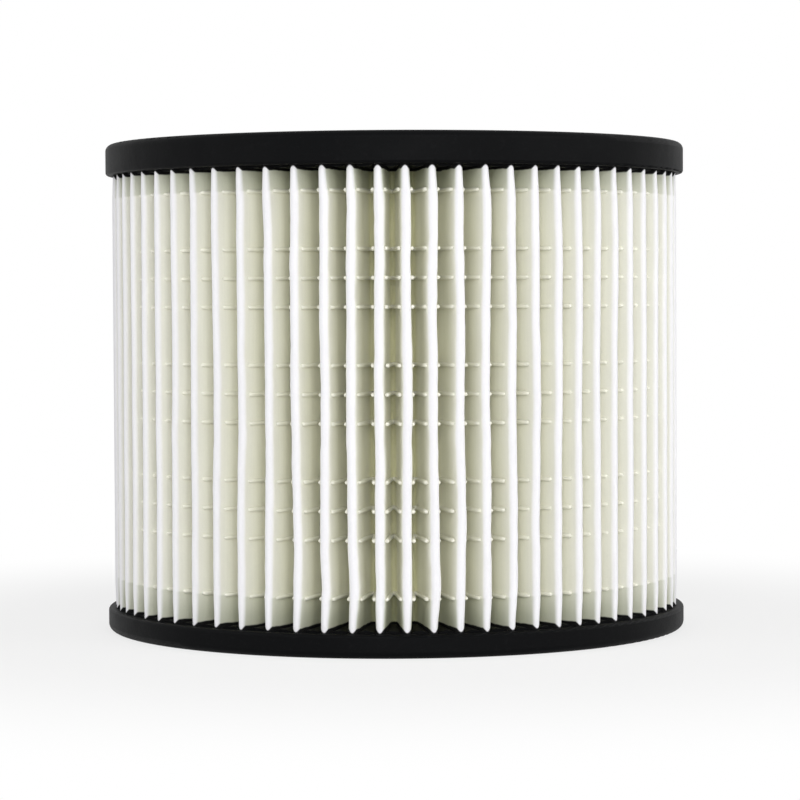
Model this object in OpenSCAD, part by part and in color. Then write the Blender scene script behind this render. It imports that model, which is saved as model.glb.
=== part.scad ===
// Pleated cartridge filter for a wet and dry vacuum cleaner.
// It is an open tube: a ring of folded filter paper stands on a moulded cage, and both ends are
// potted in cast rubber caps with a bore that slides over the machine's float cage.
// Sizes are in millimetres. The origin is the centre of the base and +Z points up.
// An angle of 0 faces the front, along -Y, and grows towards +X.

/* [Overall] */
// Outside diameter of both end caps
cap_d = 186; // [155:1:230]
// Height from the base to the top
total_h = 155.5; // [100:0.5:240]
// Diameter of the bore through both caps
bore_d = 128; // [90:1:156]

/* [End caps] */
// Height of the top cap at its rim
top_cap_h = 9.8; // [6:0.1:14]
// Height of the bottom cap at its rim
bottom_cap_h = 7.2; // [6:0.1:14]
// Width of cap that stands out past the pleat tips
cap_overhang = 2.1; // [1.6:0.1:6]
// Radius of the outer corner at the end face
face_round = 2.2; // [0.5:0.1:3]
// Radius of the rim's corner towards the pleats
rim_round = 0.9; // [0.2:0.1:1.4]
// Radius of the lead-in at the mouth of the bore
lead_in = 1.4; // [0.4:0.1:2]
// Width of the flat land round the bore that seals on the machine
seal_land_w = 7; // [4:0.5:9]
// Width of the flat land under the rim
rim_land_w = 6; // [4:0.5:8]
// Depth of the shallow recess between the two lands
recess_depth = 0.8; // [0.3:0.1:1.5]
// Width of cap between the bore and the cage
bore_wall = 2.2; // [1.2:0.1:5]
// Depth that the paper and the cage are potted into each cap
pot_depth = 4.2; // [2:0.1:4.5]
// Height that the potting rises between two pleats
creep_h = 0.8; // [0.2:0.1:1.5]

/* [Filter paper] */
// Number of pleats round the tube
pleat_n = 67; // [40:1:80]
// Thickness of the paper
paper_t = 0.6; // [0.3:0.05:0.7]
// Width of a pleat over its rounded outer fold
tip_w = 2.9; // [2.2:0.1:3.4]
// Width of a valley at its bottom
valley_w = 1.6; // [1.2:0.1:2]
// Turn of the pleat pack about the tube's axis, in degrees
pack_turn = -4.46; // [-180:0.01:180]
// Slow drift of the pleat spacing from hand gathering, in degrees
drift = 1.37; // [0:0.01:1.6]
// Quick ripple of the pleat spacing, in degrees
ripple = 0.29; // [0:0.01:0.35]
// Depth of the glue between the sheet's two ends
seam_depth = 8; // [3:0.5:14]

/* [Spacer glue] */
// Gap from the bottom cap to the first row of glue
low_margin = 9.3; // [4:0.1:20]
// Gap from the top cap to the last row of glue
high_margin = 6.8; // [4:0.1:20]
// Height of a glue bead
bead_h = 1.4; // [0.6:0.1:2.4]
// Thickness of a glue bead on the paper
bead_t = 1; // [0.85:0.05:1.1]
// Distance from the round of a pleat tip to the end of a bead
bead_inset = 0.7; // [0.2:0.1:1.2]

/* [Support cage] */
// Wall thickness of the cage
cage_t = 2; // [1.2:0.1:4]
// Running gap between the cage and the inner folds
cage_gap = 0.2; // [0.1:0.05:0.6]
// Number of upright bars
bar_n = 24; // [8:1:40]
// Width of an upright bar
bar_w = 2.4; // [1.2:0.1:5]
// Number of hoops between the two end bands
hoop_n = 5; // [1:1:9]
// Height of a hoop
hoop_h = 2; // [1:0.1:5]
// Height of each end band that shows past the potting
band_show = 4; // [1:0.5:12]

/* [Hidden] */
BEAD_SLOTS = 15;
BEAD_GROUP = 4;
bead_slots = [for (slot = [0 : BEAD_SLOTS - 1]) if (slot % BEAD_GROUP != 1) slot];
bead_rows = [for (row = [1 : len(bead_slots)]) row];

function bead_name(row) = str("spacer_bead_", row < 10 ? "0" : "", row);

$fn = 96;
FOLD_STEPS = 6;
SKIN = 0.1;
OVERCUT = 1;

cap_r = cap_d / 2;
bore_r = bore_d / 2;
cage_in_r = bore_r + bore_wall;
cage_out_r = cage_in_r + cage_t;
paper_in_r = cage_out_r + cage_gap;
tip_out_r = cap_r - cap_overhang;

tip_r = tip_w / 2;
valley_r = valley_w / 2;
tip_centre_r = tip_out_r - tip_r;
root_centre_r = paper_in_r + paper_t + valley_r;
pitch = 360 / pleat_n;
seam_pleat = ceil(pleat_n / 2);

paper_low = bottom_cap_h - pot_depth;
paper_high = total_h - top_cap_h + pot_depth;
paper_h = paper_high - paper_low;
bead_low = bottom_cap_h + low_margin;
bead_high = total_h - top_cap_h - high_margin - bead_h;
bead_step = (bead_high - bead_low) / (BEAD_SLOTS - 1);

rubber_black = [0.035, 0.037, 0.04];
paper_white = [0.93, 0.92, 0.86];
glue_cream = [0.94, 0.92, 0.78];
cage_white = [0.88, 0.88, 0.86];

// Unit vector at an angle from the front
function way(a) = [sin(a), -cos(a)];

// Places round the tube. Whole harmonics keep the spacing closed after one turn.
function wander(a) = drift * cos(3 * a) - ripple * (sin(2 * a) + sin(7 * a));
function tip_a(k) = pitch * k + pack_turn + wander(pitch * k);
function half_gap(k) = (tip_a(k + 1) - tip_a(k)) / 2;
function root_a(k) = tip_a(k) + half_gap(k);
function tip_centre(k) = tip_centre_r * way(tip_a(k));
function root_centre(k) = root_centre_r * way(root_a(k));

// Angle between a pleat's outward line and the square to its flank. The flank is the inner
// tangent of the tip's round and the valley's round, so the paper keeps its thickness.
function reach(q) = [root_centre_r * cos(q) - tip_centre_r, root_centre_r * sin(q)];
function tilt(q) = atan2(reach(q)[1], reach(q)[0]) - acos((tip_r + valley_r) / norm(reach(q)));

function tip_arc(k, r) =
    let (from = -tilt(half_gap(k - 1)), to = tilt(half_gap(k)))
    [for (i = [0 : FOLD_STEPS])
        tip_centre(k) + r * way(tip_a(k) + from + (to - from) * i / FOLD_STEPS)];

function root_arc(k, r) =
    let (sweep = tilt(half_gap(k)) - half_gap(k))
    [for (i = [0 : FOLD_STEPS])
        root_centre(k) + r * way(root_a(k) + 180 + sweep * (1 - 2 * i / FOLD_STEPS))];

// Point on the flank of pleat k: side 1 is its +angle flank and -1 the other, r is the distance
// from the middle of the tip's round, lift stands off the flank, and inward runs to the root.
function flank_point(k, side, r, lift, inward) =
    let (lean = side * tilt(half_gap(side > 0 ? k : k - 1)))
    tip_centre(k) + (r + lift) * way(tip_a(k) + lean) + inward * way(tip_a(k) + lean + side * 90);

// One face of the paper, from the seam once round to the seam again
function paper_face(at_tip, at_root) = concat(
    [flank_point(seam_pleat, 1, at_tip, 0, -tip_r)],
    root_arc(seam_pleat, at_root),
    [for (k = [seam_pleat + 1 : seam_pleat + pleat_n - 1])
        each concat(tip_arc(k, at_tip), root_arc(k, at_root))],
    [flank_point(seam_pleat + pleat_n, -1, at_tip, 0, -tip_r)]
);

function backwards(list) = [for (i = [len(list) - 1 : -1 : 0]) list[i]];

module paper_outline() {
    polygon(concat(
        paper_face(tip_r, valley_r),
        backwards(paper_face(tip_r - paper_t, valley_r + paper_t))
    ));
}

module ring_prism(outer_r, inner_r, h) {
    difference() {
        cylinder(r = outer_r, h = h);
        translate([0, 0, -OVERCUT]) cylinder(r = inner_r, h = h + 2 * OVERCUT);
    }
}

// Corner of a square profile that a round of radius r leaves over
module corner_waste(r) {
    difference() {
        square([r + OVERCUT, r + OVERCUT]);
        circle(r = r);
    }
}

// Half section of a cap of height h, with its end face at z = 0
module cap_profile(h) {
    recess_in = bore_r + seal_land_w;
    recess_out = cap_r - rim_land_w;
    difference() {
        translate([bore_r, 0]) square([cap_r - bore_r, h]);
        translate([cap_r - face_round, face_round]) mirror([0, 1]) corner_waste(face_round);
        translate([cap_r - rim_round, h - rim_round]) corner_waste(rim_round);
        translate([bore_r + lead_in, lead_in]) rotate(180) corner_waste(lead_in);
        polygon([
            [recess_in - OVERCUT, -OVERCUT],
            [recess_in + recess_depth, recess_depth],
            [recess_out - recess_depth, recess_depth],
            [recess_out + OVERCUT, -OVERCUT]
        ]);
    }
}

// Swelling of the potting in the valley after pleat k, over a potting face at z = 0
module creep(k) {
    mouth = flank_point(k, 1, tip_r, SKIN, 0);
    half_width = abs(cross(mouth, way(root_a(k)))) + SKIN * 3;
    swell_r = (pow(half_width, 2) + pow(creep_h, 2)) / (2 * creep_h);
    sweep = tilt(half_gap(k)) - half_gap(k);
    floor_r = valley_r - SKIN;
    intersection() {
        translate([0, 0, -SKIN * 3]) linear_extrude(creep_h + SKIN * 6) polygon([
            mouth,
            root_centre(k) + floor_r * way(root_a(k) + 180 + sweep),
            root_centre(k) + floor_r * way(root_a(k) + 180 - sweep),
            flank_point(k + 1, -1, tip_r, SKIN, 0)
        ]);
        rotate([0, 0, root_a(k) - 90])
            translate([paper_in_r, 0, creep_h - swell_r])
                rotate([0, 90, 0]) cylinder(r = swell_r, h = tip_out_r - paper_in_r);
    }
}

// Cap of height h with its end face at z = 0 and its sockets open upwards
module end_cap(h, flip) {
    union() {
        difference() {
            rotate_extrude() cap_profile(h);
            translate([0, 0, h - pot_depth]) linear_extrude(pot_depth + OVERCUT)
                mirror([0, flip ? 1 : 0, 0]) paper_outline();
            translate([0, 0, h - pot_depth]) ring_prism(cage_out_r, cage_in_r, pot_depth + OVERCUT);
        }
        mirror([0, flip ? 1 : 0, 0]) translate([0, 0, h])
            for (k = [0 : pleat_n - 1]) creep(k);
    }
}

module bottom_end_cap() {
    color(rubber_black) end_cap(bottom_cap_h, false);
}

module top_end_cap() {
    color(rubber_black) translate([0, 0, total_h]) rotate([180, 0, 0]) end_cap(top_cap_h, true);
}

module pleated_paper() {
    color(paper_white) translate([0, 0, paper_low]) linear_extrude(paper_h) paper_outline();
}

// Glue between the sheet's two ends, where they stand side by side as the last pleat
module paper_seam() {
    inner_tip_r = tip_r - paper_t;
    color(glue_cream) translate([0, 0, bottom_cap_h])
        linear_extrude(total_h - bottom_cap_h - top_cap_h) polygon([
            flank_point(seam_pleat, 1, inner_tip_r, 0, -tip_r),
            flank_point(seam_pleat, 1, inner_tip_r, 0, seam_depth - tip_r),
            flank_point(seam_pleat, -1, inner_tip_r, 0, seam_depth - tip_r),
            flank_point(seam_pleat, -1, inner_tip_r, 0, -tip_r)
        ]);
}

// One row of glue: a bead in each valley runs down one flank, bridges over the round at the
// bottom and comes up the other flank. The pleat tips stay bare.
module spacer_bead(row) {
    color(glue_cream) translate([0, 0, bead_low + bead_step * bead_slots[row - 1]])
        linear_extrude(bead_h) for (k = [0 : pleat_n - 1]) valley_bead(k);
}

module valley_bead(k) {
    sweep = tilt(half_gap(k)) - half_gap(k);
    bridge = root_arc(k, valley_r);
    polygon([
        flank_point(k, 1, tip_r, 0, bead_inset),
        bridge[0],
        bridge[FOLD_STEPS],
        flank_point(k + 1, -1, tip_r, 0, bead_inset),
        flank_point(k + 1, -1, tip_r, bead_t, bead_inset),
        (root_centre_r + (bead_t - valley_r) / cos(sweep)) * way(root_a(k)),
        flank_point(k, 1, tip_r, bead_t, bead_inset)
    ]);
}

// Moulded cage that holds the inner folds: two end bands, hoops and upright bars
module support_cage() {
    band_h = pot_depth + band_show;
    hoop_step = (paper_h - 2 * band_h) / (hoop_n + 1);
    color(cage_white) translate([0, 0, paper_low]) union() {
        ring_prism(cage_out_r, cage_in_r, band_h);
        translate([0, 0, paper_h - band_h]) ring_prism(cage_out_r, cage_in_r, band_h);
        for (i = [1 : hoop_n])
            translate([0, 0, band_h + hoop_step * i - hoop_h / 2])
                ring_prism(cage_out_r, cage_in_r, hoop_h);
        intersection() {
            ring_prism(cage_out_r, cage_in_r, paper_h);
            for (i = [0 : bar_n - 1])
                rotate([0, 0, 360 * i / bar_n])
                    translate([cage_in_r - OVERCUT, -bar_w / 2, 0])
                        cube([cage_t + 2 * OVERCUT, bar_w, paper_h]);
        }
    }
}

top_end_cap();
bottom_end_cap();
pleated_paper();
paper_seam();
support_cage();
for (row = bead_rows)
    spacer_bead(row);
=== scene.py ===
# %% [markdown]
# # The looks of a pleated cartridge filter
# The filter is a ring of folded paper between two black cast rubber caps. Threads of hot glue
# keep the folds apart, and a moulded cage stands behind them. The CAD model gives every piece
# its size and place. This script gives them their finish, and makes the two things that a CAD
# solid can't show: paper that wavers between its glue threads, and glue with a round back.

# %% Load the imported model
import math

import bmesh
import bpy
from mathutils import Euler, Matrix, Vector


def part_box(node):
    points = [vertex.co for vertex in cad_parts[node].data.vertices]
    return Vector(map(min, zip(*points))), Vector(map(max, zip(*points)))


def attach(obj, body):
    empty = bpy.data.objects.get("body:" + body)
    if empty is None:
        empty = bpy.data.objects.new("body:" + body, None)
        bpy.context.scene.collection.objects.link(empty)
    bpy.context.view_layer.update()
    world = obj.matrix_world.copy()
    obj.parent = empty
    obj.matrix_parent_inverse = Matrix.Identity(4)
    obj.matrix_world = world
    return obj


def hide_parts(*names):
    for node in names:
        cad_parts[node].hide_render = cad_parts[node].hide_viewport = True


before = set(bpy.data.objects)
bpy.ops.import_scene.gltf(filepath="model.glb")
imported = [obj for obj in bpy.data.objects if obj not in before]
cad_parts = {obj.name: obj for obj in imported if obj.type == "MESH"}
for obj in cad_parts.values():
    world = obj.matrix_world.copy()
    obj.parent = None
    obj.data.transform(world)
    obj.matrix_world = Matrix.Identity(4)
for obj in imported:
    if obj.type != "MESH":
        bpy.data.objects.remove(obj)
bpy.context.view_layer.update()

# %% [markdown]
# ## The camera
# The photo was taken with a long lens from just below the top cap, looking down by two degrees,
# so the top rim shows its front edge only and the bottom one a sliver of its upper face. The
# place and lens come from fitting the curves of both rims. The whole filter leans a little to
# the left in the picture, so the camera has a slight roll.

# %% Camera
MM = 0.001
PICTURE = 800
LENS_PX = 2964
SENSOR_MM = 36

camera_data = bpy.data.cameras.new("camera")
camera_data.sensor_width = SENSOR_MM
camera_data.lens = SENSOR_MM * LENS_PX / PICTURE
camera = bpy.data.objects.new("camera", camera_data)
camera.location = (0, -960.9 * MM, 107.6 * MM)
pitch_down = math.radians(2.06)
yaw = math.radians(-0.09)
roll = math.radians(0.28)
aim = Euler((math.radians(90) - pitch_down, 0, yaw), "XYZ").to_matrix()
camera.rotation_euler = (aim @ Euler((0, 0, -roll)).to_matrix()).to_euler()
bpy.context.scene.collection.objects.link(camera)
bpy.context.scene.camera = camera
print("lens in mm:", round(camera_data.lens, 1))

# %% [markdown]
# ## Shader and shape maths as plain expressions
# A formula drawn as Math nodes is hard to read, so one small class wraps a node's output and
# lets Python's own operators add the nodes. The same class serves materials and Geometry Nodes,
# because both kinds of tree share the Math, Vector Math, Noise and Map Range nodes.

# %% A value that adds its own nodes
class Value:
    """One output of a node. An expression on it adds the nodes that work it out."""

    def __init__(self, board, socket):
        self.board = board
        self.socket = socket

    def math(self, operation, *others):
        return self.board.math(operation, self, *others)

    def __add__(self, other):
        return self.math("ADD", other)

    def __sub__(self, other):
        return self.math("SUBTRACT", other)

    def __rsub__(self, other):
        return self.board.math("SUBTRACT", other, self)

    def __mul__(self, other):
        return self.math("MULTIPLY", other)

    def __truediv__(self, other):
        return self.math("DIVIDE", other)

    def __rtruediv__(self, other):
        return self.board.math("DIVIDE", other, self)

    def __neg__(self):
        return self * -1

    def __abs__(self):
        return self.math("ABSOLUTE")

    def __gt__(self, other):
        return self.math("GREATER_THAN", other)

    def __lt__(self, other):
        return self.math("LESS_THAN", other)

    __radd__ = __add__
    __rmul__ = __mul__

    def sin(self):
        return self.math("SINE")

    def cos(self):
        return self.math("COSINE")


# %% A board that makes nodes
class Board:
    """A node tree that nodes are added to."""

    def __init__(self, tree):
        self.tree = tree

    def node(self, kind, settings=None, inputs=None, output=0):
        """Adds one node: its settings first, then the values or links of its sockets."""
        made = self.tree.nodes.new(kind)
        for name, value in (settings or {}).items():
            if name == "stops":
                self.set_stops(made.color_ramp, value)
            else:
                setattr(made, name, value)
        for name, value in (inputs or {}).items():
            self.feed(made.inputs[name], value)
        return Value(self, made.outputs[output])

    def feed(self, socket, value):
        if isinstance(value, Value):
            self.tree.links.new(value.socket, socket)
        elif socket.type == "VECTOR" and isinstance(value, (int, float)):
            socket.default_value = (value, value, value)
        else:
            socket.default_value = value

    def set_stops(self, ramp, stops):
        while len(ramp.elements) < len(stops):
            ramp.elements.new(0.5)
        for element, (place, colour) in zip(ramp.elements, stops):
            element.position = place
            element.color = colour

    def math(self, operation, *operands):
        kinds = [o.socket.type for o in operands if isinstance(o, Value)]
        vector = any(kind in ("VECTOR", "RGBA") for kind in kinds)
        kind = "ShaderNodeVectorMath" if vector else "ShaderNodeMath"
        return self.node(kind, {"operation": operation}, dict(enumerate(operands)))

    def ramp(self, value, low, high, smooth=False):
        """0 where value is at or under low, 1 where it is at or over high."""
        shape = "SMOOTHSTEP" if smooth else "LINEAR"
        return self.node(
            "ShaderNodeMapRange",
            {"interpolation_type": shape, "clamp": True},
            {"Value": value, "From Min": low, "From Max": high},
        )

    def mix(self, share, first, second):
        """first where share is 0, second where it is 1, for numbers."""
        return first + (second - first) * share

    def mix_colour(self, share, first, second, blend="MIX"):
        return self.node(
            "ShaderNodeMix",
            {"data_type": "RGBA", "blend_type": blend},
            {"Factor": share, 6: first, 7: second},
            output=2,
        )

    def vector(self, x, y, z):
        return self.node("ShaderNodeCombineXYZ", None, {0: x, 1: y, 2: z})

    def noise(self, place, scale, detail=2.0, roughness=0.5):
        return self.node(
            "ShaderNodeTexNoise",
            {"noise_dimensions": "3D"},
            {"Vector": place, "Scale": scale, "Detail": detail, "Roughness": roughness},
        )


print("a Value adds Math nodes as it is used")

# %% [markdown]
# ## Materials
# Every finish is procedural and reads the object's own coordinates in metres, so a noise scale
# of 1000 gives features of about a millimetre. Only colour, roughness and bump vary over a
# surface. What is the same all over, such as the specular level, sits on the shader's socket.

# %% Start a material
def new_material(name, **constants):
    """A material with one shader. Returns it, its board, its shader and the place on the piece."""
    material = bpy.data.materials.new(name)
    material.use_nodes = True
    tree = material.node_tree
    tree.nodes.clear()
    board = Board(tree)
    shader = tree.nodes.new("ShaderNodeBsdfPrincipled")
    output = tree.nodes.new("ShaderNodeOutputMaterial")
    tree.links.new(shader.outputs[0], output.inputs["Surface"])
    for socket, value in constants.items():
        shader.inputs[socket.replace("_", " ")].default_value = value
    place = board.node("ShaderNodeTexCoord", output="Object")
    return material, board, shader, place


def finish_with(board, shader, colour, roughness, bump, strength, depth):
    """Links what varies over the surface: colour, roughness and a bump of the given depth."""
    board.feed(shader.inputs["Base Color"], colour)
    board.feed(shader.inputs["Roughness"], roughness)
    normal = board.node(
        "ShaderNodeBump", None, {"Strength": strength, "Distance": depth, "Height": bump}
    )
    board.feed(shader.inputs["Normal"], normal)


# %% [markdown]
# ### Filter paper
# The paper itself is cream on its flanks. Its outer folds are painted white, a painted highlight where
# the lamps fall straight on them, and the bottoms of the valleys are painted darker as painted shade.
# At both ends the black potting also rises behind the paper, so less light comes through it there. That
# shows as a band of painted shade, deeper towards the caps, that stops at the first and the last glue
# thread. The shape tree stores how far each point is from the bottom of its valley, as an attribute
# named fold.

# %% Filter paper
# The tip colour is a painted highlight, and the deep colour is painted shade in the valley roots.
PAPER_TIP_PAINTED_LIGHT = (0.90, 0.895, 0.92, 1)
PAPER_FLANK = (0.88, 0.875, 0.74, 1)
PAPER_ROOT_PAINTED_SHADE = (0.74, 0.73, 0.50, 1)
# The show-through colour is painted shade for the two end bands.
PAINTED_END_SHADE = (0.74, 0.76, 0.70, 1)
POTTING = (0.004, 0.004, 0.0045, 1)

first_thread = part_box("spacer_bead_01")
last_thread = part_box("spacer_bead_11")
low_line = (first_thread[0][2] + first_thread[1][2]) / 2
high_line = (last_thread[0][2] + last_thread[1][2]) / 2
low_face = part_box("paper_seam")[0][2]
high_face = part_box("paper_seam")[1][2]


def paper_finish():
    material, board, shader, place = new_material("filter_paper", Specular_IOR_Level=0.2)
    fold = board.node("ShaderNodeAttribute", {"attribute_name": "fold"}, output="Fac")
    height = board.node("ShaderNodeSeparateXYZ", None, {0: place}, output=2)
    fibres = board.noise(place, 1400, 6, 0.7)
    clouds = board.noise(place, 90, 3)
    streaks = board.noise(place * (1, 1, 0.03), 1100, 2)

    # Painted light by fold: a painted highlight whitens the tips and painted shade darkens the valley roots.
    cream_with_painted_fold_light = board.mix_colour(board.ramp(fold, 0.3, 0.8, True), PAPER_FLANK, PAPER_TIP_PAINTED_LIGHT)
    cream_with_painted_fold_light = board.mix_colour(board.ramp(fold, 0.26, 0.08, True), cream_with_painted_fold_light, PAPER_ROOT_PAINTED_SHADE)
    # Painted shade: a darker band from each end glue thread to its cap, deeper towards the cap, kept off the
    # tips.
    past_row = board.ramp(height, low_line + 0.3 * MM, low_line - 0.3 * MM)
    past_row = past_row + board.ramp(height, high_line - 0.3 * MM, high_line + 0.3 * MM)
    to_cap = board.math("MINIMUM", height - low_face, high_face - height)
    shade = past_row * (0.7 + 0.6 * board.ramp(to_cap, 8 * MM, 0)) * board.ramp(fold, 0.9, 0.5, True)
    colour = board.mix_colour(shade, cream_with_painted_fold_light, PAINTED_END_SHADE, "MULTIPLY")

    tone = 0.9 + fibres * 0.08 + clouds * 0.05 + streaks * 0.07
    wicked = (0.25 + 1.1 * board.ramp(fold, 1.0, 0.55, True) + (clouds - 0.5) * 1.2) * MM
    black = board.ramp(to_cap - wicked, 0.25 * MM, -0.1 * MM)
    colour = board.mix_colour(black, colour * tone, POTTING)
    finish_with(board, shader, colour, 0.86 + fibres * 0.1, fibres + streaks * 0.5, 0.35, 0.15 * MM)
    return material


filter_paper = paper_finish()
print("paper darkens below", round(low_line / MM, 1), "mm and above", round(high_line / MM, 1), "mm")

# %% [markdown]
# ### Cast rubber
# The caps are poured black rubber, nearly without gloss. A rubber's shine comes from its skin,
# so the bump is a fine peel with a few larger waves, and the roughness wanders with it.

# %% Cap rubber
def rubber_finish():
    material, board, shader, place = new_material("cap_rubber", Specular_IOR_Level=0.06)
    peel = board.noise(place, 1500, 4, 0.6)
    waves = board.noise(place, 120, 2)
    dust = board.noise(place, 420, 5, 0.7)
    dusty = board.ramp(dust, 0.56, 0.8)
    colour = board.mix_colour(dusty * 0.5, (0.0016, 0.0018, 0.0022, 1), (0.008, 0.008, 0.009, 1))
    roughness = 0.42 + peel * 0.1 + waves * 0.12
    finish_with(board, shader, colour, roughness, peel * 0.4 + waves, 0.5, 0.25 * MM)
    return material


cap_rubber = rubber_finish()

# %% [markdown]
# ### Hot-melt glue and the cage's plastic
# The glue is cream and waxy, smooth to the touch, with slow dents where it cooled. The cage is
# white moulded plastic with a satin skin. It only shows from above, through the bore.

# %% Glue and cage plastic
def glue_finish():
    material, board, shader, place = new_material("hot_melt_glue", Specular_IOR_Level=0.5)
    dents = board.noise(place, 500, 2)
    colour = board.mix_colour(dents, (0.90, 0.89, 0.76, 1), (0.93, 0.92, 0.84, 1))
    finish_with(board, shader, colour, 0.3 + dents * 0.2, dents, 0.4, 0.2 * MM)
    return material


def plastic_finish():
    material, board, shader, place = new_material("cage_plastic", Specular_IOR_Level=0.45)
    grain = board.noise(place, 2500, 3)
    flow = board.noise(place, 60, 2)
    colour = board.mix_colour(flow, (0.74, 0.74, 0.71, 1), (0.80, 0.80, 0.78, 1))
    finish_with(board, shader, colour, 0.35 + flow * 0.15, grain, 0.25, 0.05 * MM)
    return material


hot_melt_glue = glue_finish()
cage_plastic = plastic_finish()

FINISHES = {
    "top_end_cap": cap_rubber,
    "bottom_end_cap": cap_rubber,
    "paper_seam": hot_melt_glue,
    "support_cage": cage_plastic,
}
for name, material in FINISHES.items():
    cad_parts[name].data.materials.clear()
    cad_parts[name].data.materials.append(material)
print("finished nodes:", ", ".join(FINISHES))

# %% [markdown]
# ## The folded sheet as a rule
# A pleat is two flat flanks between a wide round at the tip and a tight round at the root. Each
# flank is the line that touches both rounds, so a few sizes and the two angles of a gap give
# every point. The spacing isn't even: the pack was gathered by hand, and it drifts with slow
# and quick harmonics of the turn. These are the CAD model's own values, in metres and radians.

# %% Sizes of the pleats
PLEATS = 67
PITCH = math.tau / PLEATS
PACK_TURN = math.radians(-4.46)
DRIFT = math.radians(1.37)
RIPPLE = math.radians(0.29)
SEAM_PLEAT = 34
TIP_ROUND = 1.45 * MM
VALLEY_ROUND = 0.8 * MM
PAPER = 0.6 * MM
TIP_CIRCLE = 89.45 * MM
ROOT_CIRCLE = 69.8 * MM

paper_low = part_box("pleated_paper")[0][2]
paper_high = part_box("pleated_paper")[1][2]
thread_rows = [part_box(f"spacer_bead_{row:02d}") for row in range(1, 12)]
thread_step = (high_line - low_line) / 14
print("paper from", round(paper_low / MM, 1), "to", round(paper_high / MM, 1), "mm,", PLEATS, "pleats")

# %% [markdown]
# The rule is written once and used by the paper and by the glue, so that the glue lies on the
# paper wherever it goes. A point is named by the valley it is in, its side of that valley, its
# share of the way from root to tip, and its lift off the paper. Real pleats also waver: each
# tip strays sideways over its height, its round is pinched towards the caps, and the flanks
# belly in between two threads. That stray fades out at the caps, where the potting holds it.

# %% One point of the folded sheet
ROOT_SHARE = 1 / 6
TIP_SHARE = 3 / 6
STRAY = 0.5 * MM
BOW = 0.3 * MM
PINCH = 0.25 * MM
BELLY = 0.35 * MM
HELD = 9 * MM


def tip_angle(k):
    """Angle of tip k about the tube, from the front and growing to the right."""
    turn = k * PITCH
    uneven = DRIFT * (turn * 3).cos() - RIPPLE * ((turn * 2).sin() + (turn * 7).sin())
    return turn + PACK_TURN + uneven


def pleat_noise(board, k, height, length, seed):
    """Smooth noise from -1 to 1 that differs from pleat to pleat."""
    place = board.vector(k * 5.37, height / length, seed)
    return board.ramp(board.noise(place, 1, 1), 0.25, 0.75) * 2 - 1


def free_of_threads(board, height):
    """0 at every slot a thread may lie in and 1 halfway between two of them."""
    return abs(((height - low_line) * (math.pi / thread_step)).sin())


def sheet_point(board, valley, share, side, lift, height, cut_end=0.0):
    first = tip_angle(valley)
    last = tip_angle(valley + 1)
    half = (last - first) / 2
    middle = (first + last) / 2
    k = valley + (side > 0)

    reach_in = ROOT_CIRCLE * half.cos() - TIP_CIRCLE
    reach_across = ROOT_CIRCLE * half.sin()
    reach = (reach_in * reach_in + reach_across * reach_across).math("SQRT")
    tilt = reach_across.math("ARCTAN2", reach_in) - ((TIP_ROUND + VALLEY_ROUND) / reach).math("ARCCOSINE")
    sweep = tilt - half

    on_tip = board.ramp(share, TIP_SHARE, 1)
    on_flank = board.ramp(share, ROOT_SHARE, TIP_SHARE)
    on_root = board.ramp(share, 0, ROOT_SHARE)

    to_end = board.math("MINIMUM", height - paper_low, paper_high - height)
    loose = board.ramp(to_end, 0.5 * HELD, 2 * HELD, True)
    pinch = board.ramp(to_end, 1.5 * HELD, 0.5 * HELD, True) * PINCH
    between = free_of_threads(board, height) * loose

    tip_round = TIP_ROUND + lift - pinch
    turn = half - tilt * (1 - on_tip)
    tip_across = TIP_CIRCLE * half.sin() + tip_round * turn.sin()
    tip_out = TIP_CIRCLE * half.cos() + tip_round * turn.cos()
    flank_turn = half - tilt
    flank_across = TIP_CIRCLE * half.sin() + tip_round * flank_turn.sin() + TIP_ROUND * on_tip * flank_turn.cos()
    flank_out = TIP_CIRCLE * half.cos() + tip_round * flank_turn.cos() - TIP_ROUND * on_tip * flank_turn.sin()
    tip_across = board.mix(cut_end, tip_across, flank_across)
    tip_out = board.mix(cut_end, tip_out, flank_out)

    root_round = VALLEY_ROUND - lift
    root_across = root_round * (sweep * on_root).sin()
    root_out = ROOT_CIRCLE - root_round * (sweep * on_root).cos()

    belly = pleat_noise(board, k, height, 14 * MM, 5.0) * between * BELLY * on_flank * (1 - on_tip)
    across = board.mix(on_flank, root_across, tip_across) + belly * (1 - on_flank * 0.5)
    across = board.math("MAXIMUM", across, 0.0)
    out = board.mix(on_flank, root_out, tip_out)
    stray = (BOW + pleat_noise(board, k, height, 55 * MM, 1.0) * STRAY) * loose
    stray = stray + pleat_noise(board, k, height, 12 * MM, 9.0) * between * STRAY * 0.4
    across = across * side + stray * on_flank
    return board.vector(
        across * middle.cos() + out * middle.sin(),
        across * middle.sin() - out * middle.cos(),
        height,
    )


# %% [markdown]
# ## Making a piece with Geometry Nodes
# A tree has a named input for each of its sizes. An empty mesh carries the modifier, each input
# is set by its identifier, and the evaluated result becomes a plain mesh at the origin.

# %% Build a tree and turn its result into a mesh
def new_tree(name, sizes):
    tree = bpy.data.node_groups.new(name, "GeometryNodeTree")
    tree.interface.new_socket("Geometry", in_out="OUTPUT", socket_type="NodeSocketGeometry")
    identifiers = {}
    for label, size in sizes.items():
        kind = "NodeSocketInt" if isinstance(size, int) else "NodeSocketFloat"
        identifiers[label] = tree.interface.new_socket(label, in_out="INPUT", socket_type=kind).identifier
    board = Board(tree)
    entrance = tree.nodes.new("NodeGroupInput")
    inputs = {label: Value(board, entrance.outputs[label]) for label in sizes}
    return board, inputs, identifiers


def end_tree(board, geometry, material):
    """Realize Instances, then Set Material, then the group's output."""
    plain = board.node("GeometryNodeRealizeInstances", None, {"Geometry": geometry})
    finished = board.node("GeometryNodeSetMaterial", None, {"Geometry": plain, "Material": material})
    exit_node = board.tree.nodes.new("NodeGroupOutput")
    board.feed(exit_node.inputs[0], finished)


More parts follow.
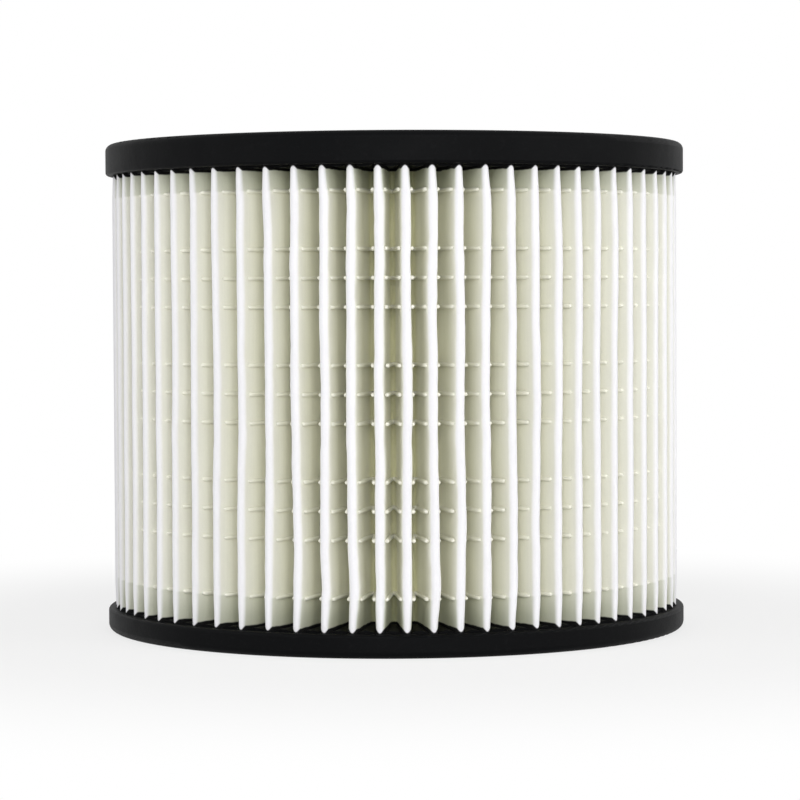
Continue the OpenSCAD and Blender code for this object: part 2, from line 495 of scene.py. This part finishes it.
def piece_from(name, board, identifiers, sizes):
    carrier = bpy.data.objects.new("carrier", bpy.data.meshes.new("carrier"))
    bpy.context.scene.collection.objects.link(carrier)
    modifier = carrier.modifiers.new("shape", "NODES")
    modifier.node_group = board.tree
    for label, size in sizes.items():
        modifier[identifiers[label]] = size
    graph = bpy.context.evaluated_depsgraph_get()
    mesh = bpy.data.meshes.new_from_object(carrier.evaluated_get(graph))
    mesh.name = name
    carrier.modifiers.remove(modifier)
    bpy.data.objects.remove(carrier)
    piece = bpy.data.objects.new(name, mesh)
    bpy.context.scene.collection.objects.link(piece)
    return piece


def measure(piece):
    """Triangles, enclosed volume in cubic centimetres and open edges of a piece."""
    work = bmesh.new()
    work.from_mesh(piece.data)
    triangles = sum(len(face.verts) - 2 for face in work.faces)
    open_edges = sum(1 for edge in work.edges if not edge.is_manifold)
    volume = work.calc_volume(signed=True) * 1e6
    work.free()
    return f"{piece.name}: {triangles} triangles, {volume:.2f} cm3, {open_edges} open edges"


# %% [markdown]
# ## The pleated paper
# The sheet starts as one flat grid. Across it, one unit is one valley. Up it, the grid runs up
# the paper's outer face, over the top edge, down its inner face and round the bottom edge, so
# the folded sheet has its real thickness and is closed. Set Position then folds every point by
# the rule. The sheet is an open strip: at the back its two ends stand side by side as one pleat.

# %% Fold the sheet
SHEET_SIZES = {"Columns a valley": 12, "Rows": 51, "Thickness": PAPER, "Low": paper_low, "High": paper_high}


def paper_tree():
    board, size, identifiers = new_tree("folded sheet", SHEET_SIZES)
    rows = size["Rows"]
    lines = rows * 2 + 2
    grid = board.node(
        "GeometryNodeMeshGrid",
        None,
        {"Size X": PLEATS, "Size Y": lines, "Vertices X": size["Columns a valley"] * PLEATS + 1, "Vertices Y": lines + 1},
    )
    place = board.node("GeometryNodeInputPosition")
    across = board.node("ShaderNodeSeparateXYZ", None, {0: place}, output=0) + (SEAM_PLEAT + PLEATS / 2)
    line = board.node("ShaderNodeSeparateXYZ", None, {0: place}, output=1) + lines / 2

    inner = (line > rows + 0.5) * (line < lines - 0.5)
    row = board.mix(inner, line, lines - 1 - line) * (line < lines - 0.5)
    height = board.mix(row / rows, size["Low"], size["High"])
    lift = inner * size["Thickness"] * -1

    valley = board.math("MINIMUM", (across + 0.0001).math("FLOOR"), SEAM_PLEAT + PLEATS - 1.0)
    along = (across - valley) * 2 - 1
    side = (along > 0.0) * 2 - 1
    share = board.math("MINIMUM", abs(along), 1.0)
    cut_end = abs(across - (SEAM_PLEAT + PLEATS / 2)) > (PLEATS / 2 - 0.5)

    named = board.node(
        "GeometryNodeStoreNamedAttribute",
        {"data_type": "FLOAT", "domain": "POINT"},
        {"Geometry": grid, "Name": "fold", "Value": share},
    )
    folded = board.node(
        "GeometryNodeSetPosition",
        None,
        {"Geometry": named, "Position": sheet_point(board, valley, share, side, lift, height, cut_end)},
    )
    closed = board.node("GeometryNodeMergeByDistance", None, {"Geometry": folded, "Distance": 0.01 * MM})
    smooth = board.node("GeometryNodeSetShadeSmooth", None, {"Geometry": closed})
    end_tree(board, smooth, filter_paper)
    return board, identifiers


board, identifiers = paper_tree()
pleated_sheet = piece_from("pleated_sheet", board, identifiers, SHEET_SIZES)
print(measure(pleated_sheet))

# %% [markdown]
# ## The glue threads
# A thread is laid across the flat sheet and folds with it, so in every valley it runs down one
# flank and up the other, and it stops short of the tips. One round sleeve is instanced for each
# valley, and the same rule bends it to the paper: its lift makes it thick, its height tall.

# %% Bend a bead into every valley
BEAD_HEIGHT = 1.4 * MM
BEAD_LIFT = 1.0 * MM
THREAD_SIZES = {"Steps": 12, "Sides": 6, "Height": low_line, "Bead height": BEAD_HEIGHT, "Bead lift": BEAD_LIFT}
BEAD_END_SHARE = TIP_SHARE - 0.03 * (TIP_SHARE - ROOT_SHARE)


def thread_tree():
    board, size, identifiers = new_tree("glue thread", THREAD_SIZES)
    sleeve = board.node(
        "GeometryNodeMeshGrid",
        None,
        {"Size X": 2.0, "Size Y": math.tau, "Vertices X": size["Steps"] + 1, "Vertices Y": size["Sides"] + 1},
    )
    sites = board.node("GeometryNodeMeshLine", None, {"Count": PLEATS, "Offset": (0, 0, 0)})
    beads = board.node("GeometryNodeInstanceOnPoints", None, {"Points": sites, "Instance": sleeve})
    number = board.node("GeometryNodeInputIndex")
    beads = board.node(
        "GeometryNodeStoreNamedAttribute",
        {"data_type": "FLOAT", "domain": "INSTANCE"},
        {"Geometry": beads, "Name": "valley", "Value": number},
    )
    beads = board.node("GeometryNodeRealizeInstances", None, {"Geometry": beads})

    valley = board.node("GeometryNodeInputNamedAttribute", {"data_type": "FLOAT"}, {"Name": "valley"})
    place = board.node("GeometryNodeInputPosition")
    along = board.node("ShaderNodeSeparateXYZ", None, {0: place}, output=0)
    around = board.node("ShaderNodeSeparateXYZ", None, {0: place}, output=1)
    side = (along > 0.0) * 2 - 1
    reach = 1 - (1 - abs(along)) * (1 - abs(along))
    share = reach * BEAD_END_SHARE
    end = board.ramp(reach, 0.95, 1)
    full = (1 - end * end).math("SQRT")
    uneven = 1 + pleat_noise(board, valley, along * MM * 8, 3 * MM, 3.0) * 0.12
    lift = (0.3 + around.cos() * 0.7 * full * uneven) * size["Bead lift"]
    height = size["Height"] + around.sin() * full * uneven * size["Bead height"] / 2
    bent = board.node(
        "GeometryNodeSetPosition",
        None,
        {"Geometry": beads, "Position": sheet_point(board, valley, share, side, lift, height)},
    )
    closed = board.node("GeometryNodeMergeByDistance", None, {"Geometry": bent, "Distance": 0.005 * MM})
    smooth = board.node("GeometryNodeSetShadeSmooth", None, {"Geometry": closed})
    end_tree(board, smooth, hot_melt_glue)
    return board, identifiers


board, identifiers = thread_tree()
glue_threads = []
for row, box in enumerate(thread_rows, 1):
    sizes = dict(THREAD_SIZES, Height=(box[0][2] + box[1][2]) / 2)
    glue_threads.append(piece_from(f"glue_thread_{row:02d}", board, identifiers, sizes))
print(measure(glue_threads[0]))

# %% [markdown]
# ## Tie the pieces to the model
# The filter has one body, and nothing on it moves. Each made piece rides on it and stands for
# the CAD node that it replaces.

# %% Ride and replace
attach(pleated_sheet, "root")
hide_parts("pleated_paper")
for row, thread in enumerate(glue_threads, 1):
    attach(thread, "root")
    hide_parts(f"spacer_bead_{row:02d}")
print("pieces:", 1 + len(glue_threads))

# %% [markdown]
# ## Floor, world and lamps
# The photo has a pure white ground. The floor is white where the camera looks at it, apart from
# a soft shadow near the filter, and the world is white to the camera and to reflections. The
# lamps are large and soft, with the stronger one to the front and right.

# %% Floor
def floor_finish():
    material = bpy.data.materials.new("floor_white")
    material.use_nodes = True
    tree = material.node_tree
    tree.nodes.clear()
    board = Board(tree)
    place = board.node("ShaderNodeTexCoord", output="Object")
    away = board.node("ShaderNodeVectorMath", {"operation": "LENGTH"}, {0: place}, output="Value")
    rays = tree.nodes.new("ShaderNodeLightPath")
    seen = [Value(board, rays.outputs[f"Is {kind} Ray"]) for kind in ("Camera", "Glossy", "Transmission")]
    direct = board.math("MINIMUM", seen[0] + seen[1] + seen[2], 1.0)
    white = direct * board.mix(board.ramp(away, 0.12, 0.3, True), 0.75, 1.0)
    matt = board.node("ShaderNodeBsdfDiffuse", None, {"Color": (0.8, 0.8, 0.8, 1)})
    glow = board.node("ShaderNodeEmission", None, {"Color": (1, 1, 1, 1), "Strength": 1.0})
    mixed = board.node("ShaderNodeMixShader", None, {0: white, 1: matt, 2: glow})
    output = tree.nodes.new("ShaderNodeOutputMaterial")
    board.feed(output.inputs["Surface"], mixed)
    return material


FLOOR_SIZE = 6.0
bpy.ops.mesh.primitive_plane_add(size=FLOOR_SIZE)
floor = bpy.context.object
floor.name = "floor"
floor.data.materials.append(floor_finish())

# %% World and lamps
AMBIENT = 0.45


def white_world():
    world = bpy.data.worlds.new("white_world")
    bpy.context.scene.world = world
    world.use_nodes = True
    tree = world.node_tree
    tree.nodes.clear()
    board = Board(tree)
    rays = tree.nodes.new("ShaderNodeLightPath")
    seen = [Value(board, rays.outputs[f"Is {kind} Ray"]) for kind in ("Camera", "Glossy", "Transmission")]
    direct = board.math("MINIMUM", seen[0] + seen[1] + seen[2], 1.0)
    sky = board.node(
        "ShaderNodeBackground", None, {"Color": (1, 1, 1, 1), "Strength": board.mix(direct, AMBIENT, 1.0)}
    )
    output = tree.nodes.new("ShaderNodeOutputWorld")
    board.feed(output.inputs["Surface"], sky)


def soft_lamp(name, place, size, power):
    data = bpy.data.lights.new(name, "AREA")
    data.shape = "SQUARE"
    data.size = size
    data.energy = power
    lamp = bpy.data.objects.new(name, data)
    lamp.location = place
    aim_at = Vector((0, 0, 0.08))
    lamp.rotation_euler = (aim_at - lamp.location).to_track_quat("-Z", "Y").to_euler()
    bpy.context.scene.collection.objects.link(lamp)
    return lamp


white_world()
soft_lamp("front_lamp", (0.15, -1.6, 0.5), 0.9, 11)
soft_lamp("right_lamp", (1.3, -0.7, 0.5), 0.7, 6)
soft_lamp("left_lamp", (-1.3, -0.8, 0.5), 0.7, 4)

# %% [markdown]
# ## Finish
# The colours are shown as they are written.

# %% Finish
scene = bpy.context.scene
scene.view_settings.view_transform = "Standard"
